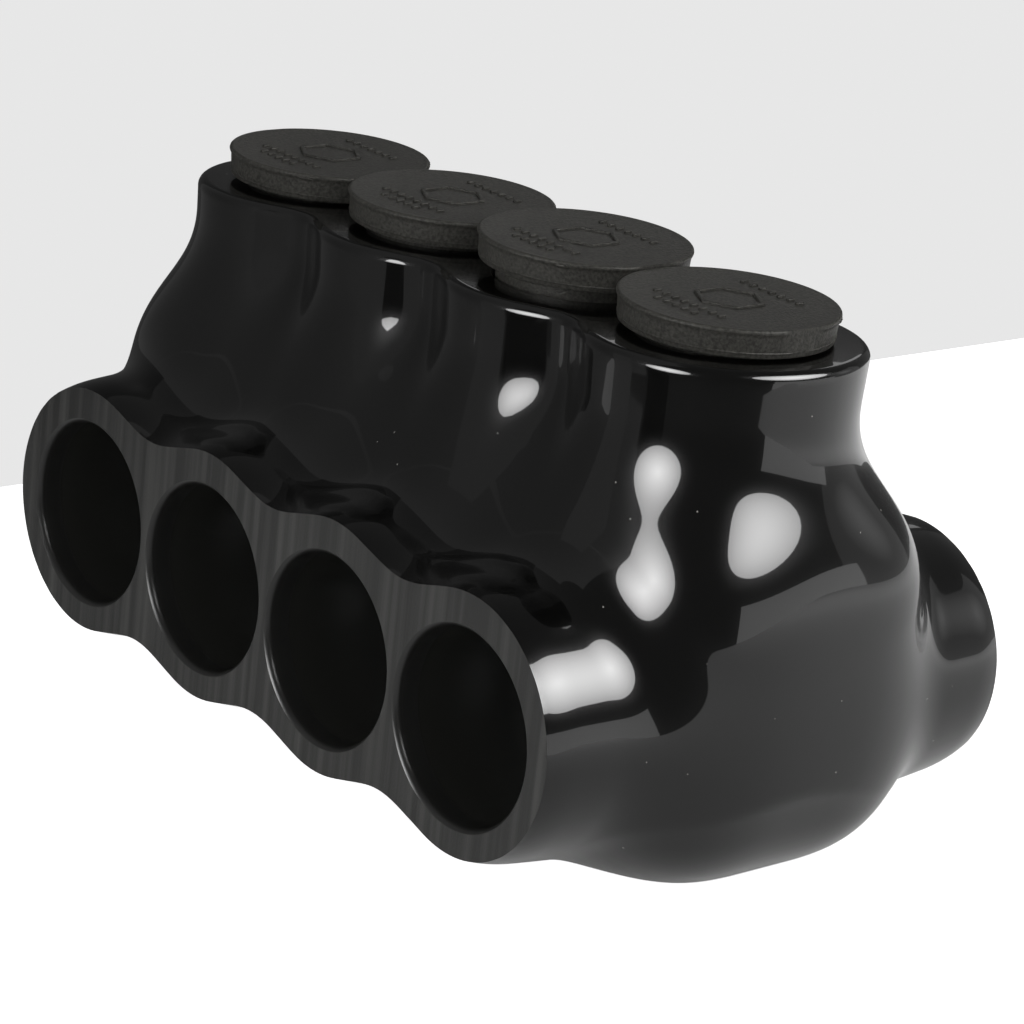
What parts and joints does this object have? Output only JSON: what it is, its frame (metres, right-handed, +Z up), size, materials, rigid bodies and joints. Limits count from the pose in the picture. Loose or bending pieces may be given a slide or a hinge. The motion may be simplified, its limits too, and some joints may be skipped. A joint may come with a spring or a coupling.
{
  "type": "insulated multi-tap connector",
  "caption": "Insulated connector block: cables enter a row of ports from either side and are clamped in one aluminium bar by set screws under push-in plugs.",
  "frame": {"origin": "centre of the box round the whole part, at the flat foot it stands on", "axes": "+X along the row of ports, from plug 1 to plug 4; -Y out of the front ports; +Z up, along the screws and plugs"},
  "size_m": [0.1214, 0.071, 0.0677],
  "materials": {
    "cover_vinyl": "glossy soft vinyl, black, with sawn spout ends",
    "plug_vinyl": "matt fine-grained vinyl, black",
    "bar_aluminium": "tin-plated, satin",
    "screw_aluminium": "turned, bright"
  },
  "bodies": {
    "root": {"insulating_cover": "cover_vinyl", "connector_bar": "bar_aluminium"},
    "screw_1": {"set_screw_1": "screw_aluminium"},
    "plug_1": {"access_plug_1": "plug_vinyl"},
    "screw_2": {"set_screw_2": "screw_aluminium"},
    "plug_2": {"access_plug_2": "plug_vinyl"},
    "screw_3": {"set_screw_3": "screw_aluminium"},
    "plug_3": {"access_plug_3": "plug_vinyl"},
    "screw_4": {"set_screw_4": "screw_aluminium"},
    "plug_4": {"access_plug_4": "plug_vinyl"}
  },
  "joints": [
    {"name": "screw_1_turn_in", "type": "slide", "parent": "root", "child": "screw_1", "axis": [0, 0, 1], "range_m": [-0.014, 0]},
    {"name": "plug_1_pull_out", "type": "slide", "parent": "root", "child": "plug_1", "axis": [0, 0, 1], "range_m": [0, 0.018]},
    {"name": "screw_2_turn_in", "type": "slide", "parent": "root", "child": "screw_2", "axis": [0, 0, 1], "range_m": [-0.014, 0]},
    {"name": "plug_2_pull_out", "type": "slide", "parent": "root", "child": "plug_2", "axis": [0, 0, 1], "range_m": [0, 0.018]},
    {"name": "screw_3_turn_in", "type": "slide", "parent": "root", "child": "screw_3", "axis": [0, 0, 1], "range_m": [-0.014, 0]},
    {"name": "plug_3_pull_out", "type": "slide", "parent": "root", "child": "plug_3", "axis": [0, 0, 1], "range_m": [0, 0.018]},
    {"name": "screw_4_turn_in", "type": "slide", "parent": "root", "child": "screw_4", "axis": [0, 0, 1], "range_m": [-0.014, 0]},
    {"name": "plug_4_pull_out", "type": "slide", "parent": "root", "child": "plug_4", "axis": [0, 0, 1], "range_m": [0, 0.018]}
  ]
}
